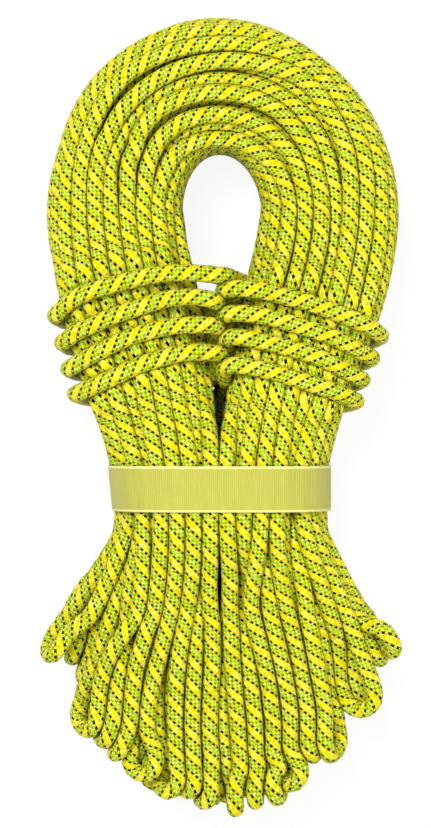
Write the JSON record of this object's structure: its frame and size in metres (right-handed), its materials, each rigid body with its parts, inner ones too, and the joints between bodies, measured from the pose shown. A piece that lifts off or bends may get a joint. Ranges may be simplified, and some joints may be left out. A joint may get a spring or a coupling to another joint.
{
  "type": "dynamic climbing rope",
  "caption": "Dynamic climbing rope in a lashed butterfly hank with an eye at the top, a fan of folded bights and a sliding webbing band round its waist.",
  "frame": {"origin": "on the ground, below the middle of the hank's box", "axes": "+Y towards the crown, along the hank; +Z towards the hank's front, which faces up; +X to the right seen from the front"},
  "size_m": [0.206, 0.452, 0.1185],
  "materials": {
    "sheath": "braided polyamide, yellow with green and black flecks in three helical stripes",
    "core": "twisted white polyamide strands",
    "marker_tape": "thin woven tape",
    "fused_nylon": "heat-fused sheath and core",
    "end_tag": "plain printed film, left blank",
    "shrink_sleeve": "clear heat-shrunk tube",
    "band_webbing": "ribbed stretch webbing",
    "band_thread": "sewing thread"
  },
  "bodies": {
    "hank": {"crown_strands": "sheath", "left_leg_strands": "sheath", "right_leg_strands": "sheath", "waist_strands": "sheath", "throat_strands": "sheath", "left_front_bights": "sheath", "left_middle_bights": "sheath", "left_back_bights": "sheath", "right_front_bights": "sheath", "right_middle_bights": "sheath", "right_back_bights": "sheath", "lashing_turn_1": "sheath", "lashing_turn_2": "sheath", "lashing_turn_3": "sheath", "lashing_turn_4": "sheath", "finishing_lead": "sheath", "first_end_lead": "sheath", "last_end_lead": "sheath"},
    "band": {"label_band": "band_webbing", "band_stitches": "band_thread"},
    "first_end": {"first_end_sheath": "sheath", "first_end_core": "core", "first_end_marker_tape": "marker_tape", "first_end_cap": "fused_nylon", "first_end_tag": "end_tag", "first_end_sleeve": "shrink_sleeve"},
    "last_end": {"last_end_sheath": "sheath", "last_end_core": "core", "last_end_marker_tape": "marker_tape", "last_end_cap": "fused_nylon", "last_end_tag": "end_tag", "last_end_sleeve": "shrink_sleeve"}
  },
  "joints": [
    {"name": "label_band_slide", "type": "slide", "parent": "hank", "child": "band", "axis": [0, 1, 0], "range_m": [-0.012, 0.007]},
    {"name": "first_end_swing", "type": "hinge", "parent": "hank", "child": "first_end", "pos_m": [-0.026, -0.104, 0.006], "axis": [0, 0, 1], "range_deg": [-10, 10]},
    {"name": "last_end_swing", "type": "hinge", "parent": "hank", "child": "last_end", "pos_m": [0.026, -0.104, 0.006], "axis": [0, 0, 1], "range_deg": [-10, 10]}
  ]
}
